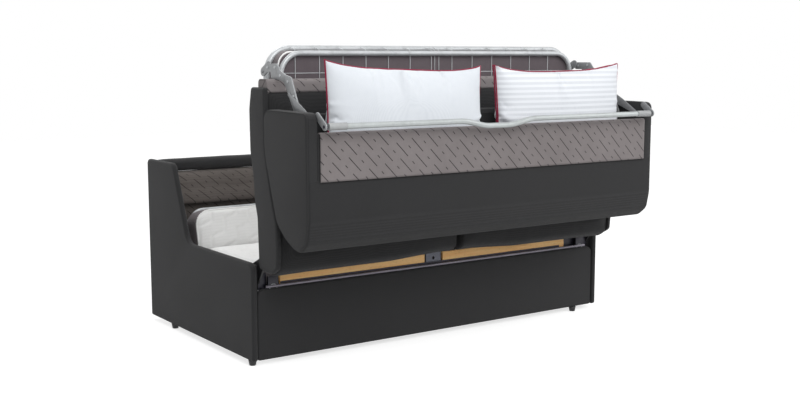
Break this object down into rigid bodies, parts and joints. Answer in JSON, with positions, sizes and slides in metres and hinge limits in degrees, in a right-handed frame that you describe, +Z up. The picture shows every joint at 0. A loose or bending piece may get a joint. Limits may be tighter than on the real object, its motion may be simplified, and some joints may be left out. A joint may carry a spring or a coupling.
{
  "type": "sofa bed",
  "caption": "Two-seat sofa bed, half way through opening: the seat and folded backrest stand on end over the base, the mattress on its tube frame behind them",
  "frame": {"origin": "on the floor, under the middle of the object's box", "axes": "X along the seat to its right end, Y from the front to the back, Z up"},
  "size_m": [1.84, 1.416, 1.2425],
  "materials": {
    "charcoal_fabric": "matte woven upholstery",
    "lining_fabric": "taupe lining with dark broken diagonal lines",
    "mattress_ticking": "white quilted ticking with a grey border",
    "pillow_cotton": "white cotton with crimson piping",
    "black_plastic": "black moulded",
    "grey_steel": "light grey powder coat",
    "dark_steel": "dark enamel",
    "beech_wood": "plain lacquered beech"
  },
  "bodies": {
    "base": {"left_arm": "charcoal_fabric", "right_arm": "charcoal_fabric", "front_panel": "charcoal_fabric", "front_rail": "beech_wood", "rear_rail": "beech_wood", "back_panel": "charcoal_fabric", "back_lining": "lining_fabric", "back_pad": "lining_fabric", "back_top_roll": "charcoal_fabric", "feet": "black_plastic", "torsion_tube": "grey_steel", "left_end_bracket": "black_plastic", "right_end_bracket": "black_plastic", "angle_bar": "dark_steel", "left_front_board": "beech_wood", "right_front_board": "beech_wood", "centre_bracket": "grey_steel", "left_pivot_plate": "grey_steel", "right_pivot_plate": "grey_steel", "left_lift_guide": "grey_steel", "right_lift_guide": "grey_steel"},
    "carriage": {"mid_mattress": "mattress_ticking", "mid_frame": "grey_steel", "mid_net": "grey_steel", "head_mattress": "mattress_ticking", "head_hoop": "grey_steel", "left_roller_bracket": "grey_steel", "right_roller_bracket": "grey_steel"},
    "seat": {"seat_board": "lining_fabric", "left_seat_side_pad": "lining_fabric", "right_seat_side_pad": "lining_fabric", "left_seat_plate": "grey_steel", "right_seat_plate": "grey_steel", "left_seat_cushion": "charcoal_fabric", "right_seat_cushion": "charcoal_fabric", "seat_rear_band": "lining_fabric", "left_guide_block": "black_plastic", "right_guide_block": "black_plastic", "left_lever": "grey_steel", "right_lever": "grey_steel", "stays": "grey_steel"},
    "foot": {"foot_mattress": "mattress_ticking", "foot_hoop": "grey_steel", "foot_bow": "grey_steel", "foot_net": "grey_steel", "net_hooks": "grey_steel", "corner_plates": "grey_steel", "mattress_bend": "mattress_ticking"},
    "backrest": {"back_shell": "charcoal_fabric", "pocket_board": "lining_fabric", "left_end_panel": "charcoal_fabric", "right_end_panel": "charcoal_fabric", "left_back_cushion": "charcoal_fabric", "right_back_cushion": "charcoal_fabric", "rail_brackets": "grey_steel"},
    "pillows": {"left_pillow": "pillow_cotton", "right_pillow": "pillow_cotton"},
    "rail": {"pillow_rail": "grey_steel"}
  },
  "joints": [
    {"name": "seat_turn", "type": "hinge", "parent": "base", "child": "seat", "pos_m": [0, -0.302, 0.416], "axis": [1, 0, 0], "range_deg": [-90, 90]},
    {"name": "bed_lift", "type": "slide", "parent": "base", "child": "carriage", "axis": [0, 0, 1], "range_m": [-0.22065, 0.22065]},
    {"name": "foot_slide", "type": "slide", "parent": "seat", "child": "foot", "axis": [0, 0, 1], "range_m": [-0.118, 0.118], "deforming": ["mattress_bend"]},
    {"name": "back_fold", "type": "hinge", "parent": "seat", "child": "backrest", "pos_m": [0, -0.391, 0.951], "axis": [-1, 0, 0], "range_deg": [0, 100]},
    {"name": "pillow_slide", "type": "slide", "parent": "backrest", "child": "pillows", "axis": [0, 0, -1], "range_m": [0, 0.195]},
    {"name": "rail_turn", "type": "hinge", "parent": "backrest", "child": "rail", "pos_m": [0, -0.692, 0.96], "axis": [1, 0, 0], "range_deg": [-25, 25]}
  ],
  "couplings": [
    {"joint": "bed_lift", "follows": "seat_turn", "m_per_rad": 0.14047},
    {"joint": "foot_slide", "follows": "seat_turn", "m_per_rad": 0.075121},
    {"joint": "pillow_slide", "follows": "back_fold", "m_per_rad": 0.11173}
  ]
}
